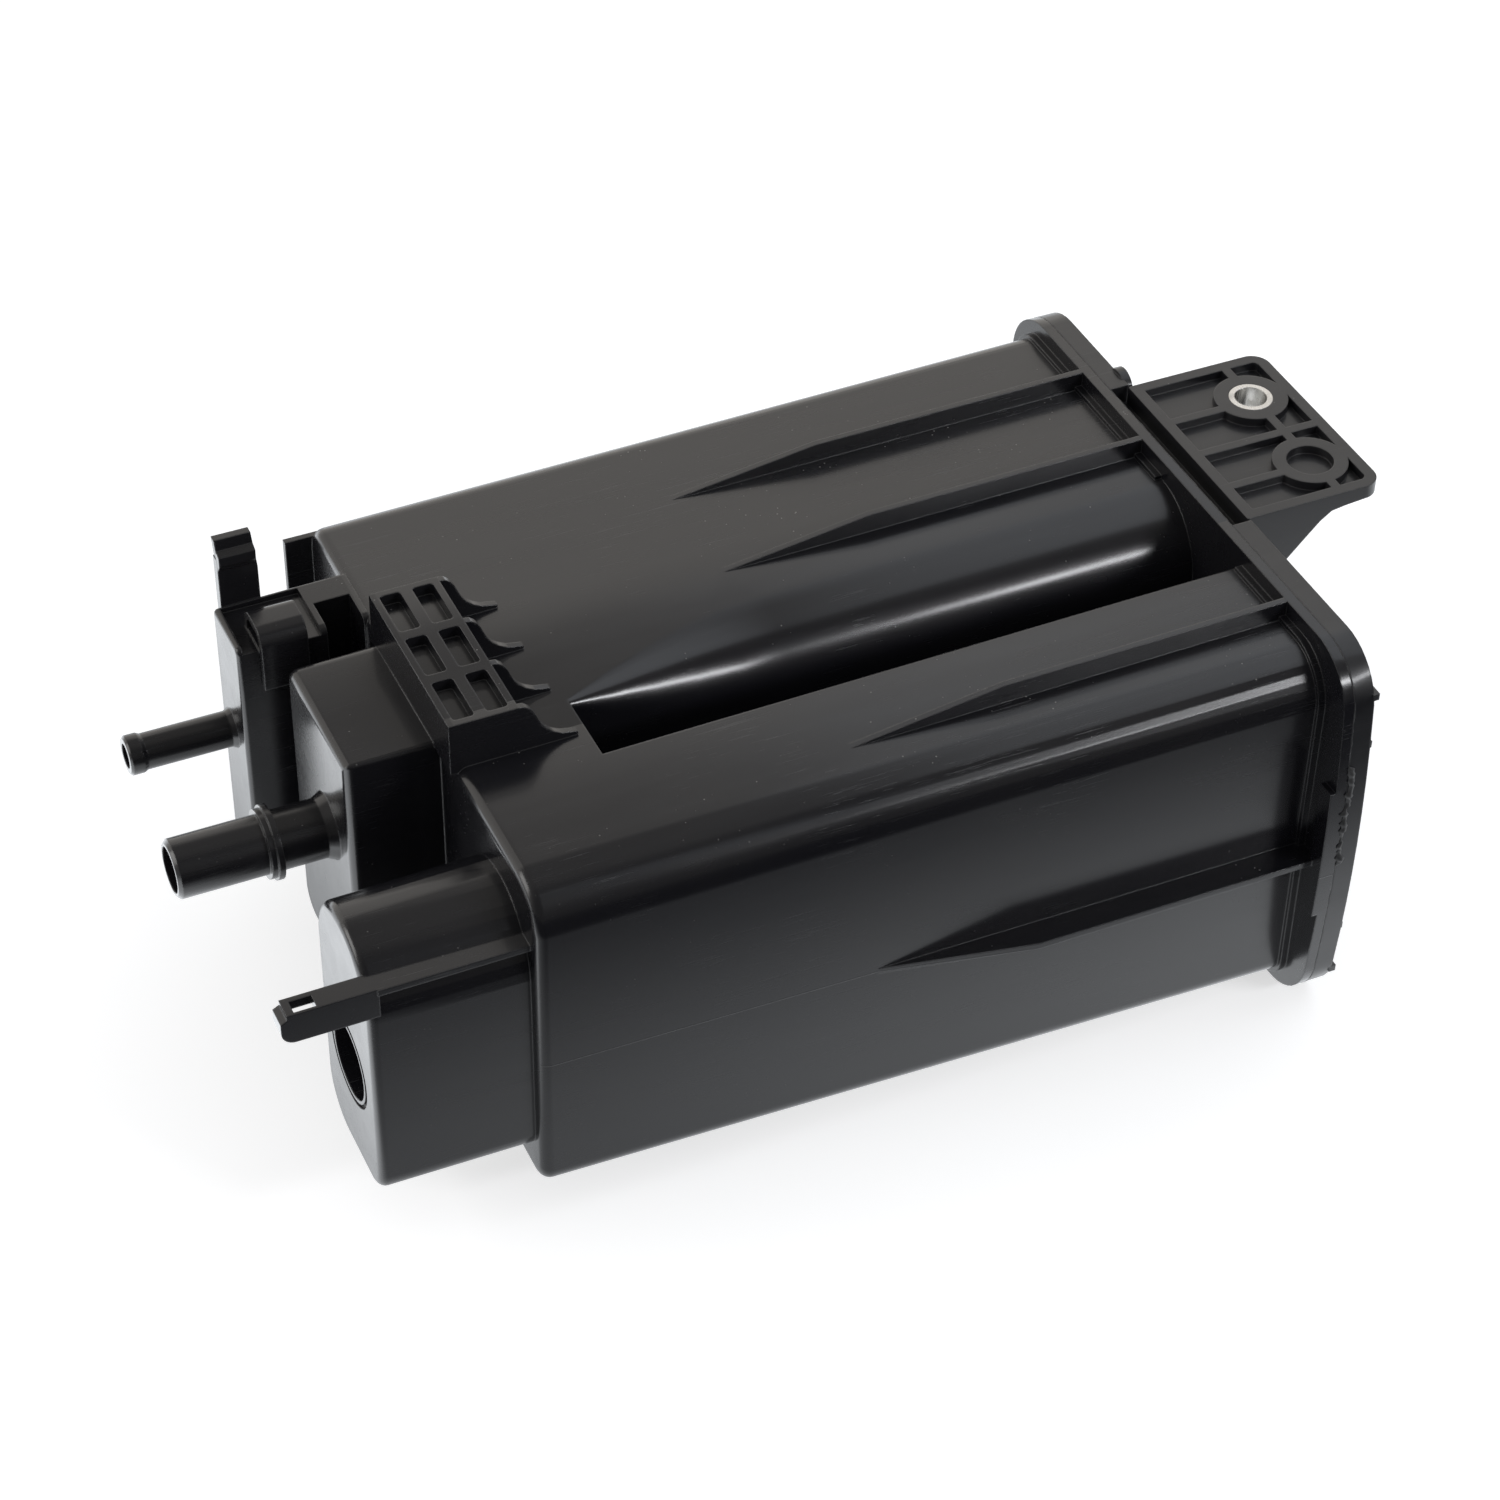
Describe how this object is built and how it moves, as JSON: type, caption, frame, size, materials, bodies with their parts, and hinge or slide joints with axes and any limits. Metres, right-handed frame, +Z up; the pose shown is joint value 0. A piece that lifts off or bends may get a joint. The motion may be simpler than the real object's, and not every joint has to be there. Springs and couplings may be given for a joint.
{
  "type": "charcoal canister",
  "caption": "Black moulded fuel vapour canister with carbon chambers side by side, port boxes with hose nipples, stiffening ribs, welded end cover and a slim mounting bracket.",
  "frame": {"origin": "On the axis of the bracket's steel sleeve, level with the bracket's flat top", "axes": "+X runs along the canister from the ports to the bracket, +Y to the far side with the main chamber, +Z up out of the bracket's top"},
  "size_m": [0.3234, 0.1807, 0.1275],
  "materials": {
    "housing_plastic": "black moulded nylon with a satin sheen and faint scuffs",
    "cover_plastic": "black moulded nylon, a little rougher at the weld",
    "sleeve_steel": "rolled zinc plated steel",
    "grid_plastic": "plain dark moulded plastic",
    "felt": "pressed needle felt",
    "carbon": "packed carbon pellets",
    "spring_steel": "drawn spring wire",
    "foam": "open cell foam"
  },
  "bodies": {
    "root": {"canister_body": "housing_plastic", "end_cover": "cover_plastic", "bracket_sleeve": "sleeve_steel", "main_port_grid": "grid_plastic", "main_port_felt": "felt", "main_carbon_bed": "carbon", "main_cover_felt": "felt", "main_pressure_plate": "grid_plastic", "main_spring_far": "spring_steel", "main_spring_near": "spring_steel", "vent_port_grid": "grid_plastic", "vent_port_felt": "felt", "vent_carbon_bed": "carbon", "vent_cover_felt": "felt", "vent_pressure_plate": "grid_plastic", "vent_spring_upper": "spring_steel", "vent_spring_lower": "spring_steel", "tank_port_filter": "foam", "purge_port_filter": "foam", "vent_port_filter": "foam"}
  },
  "joints": []
}
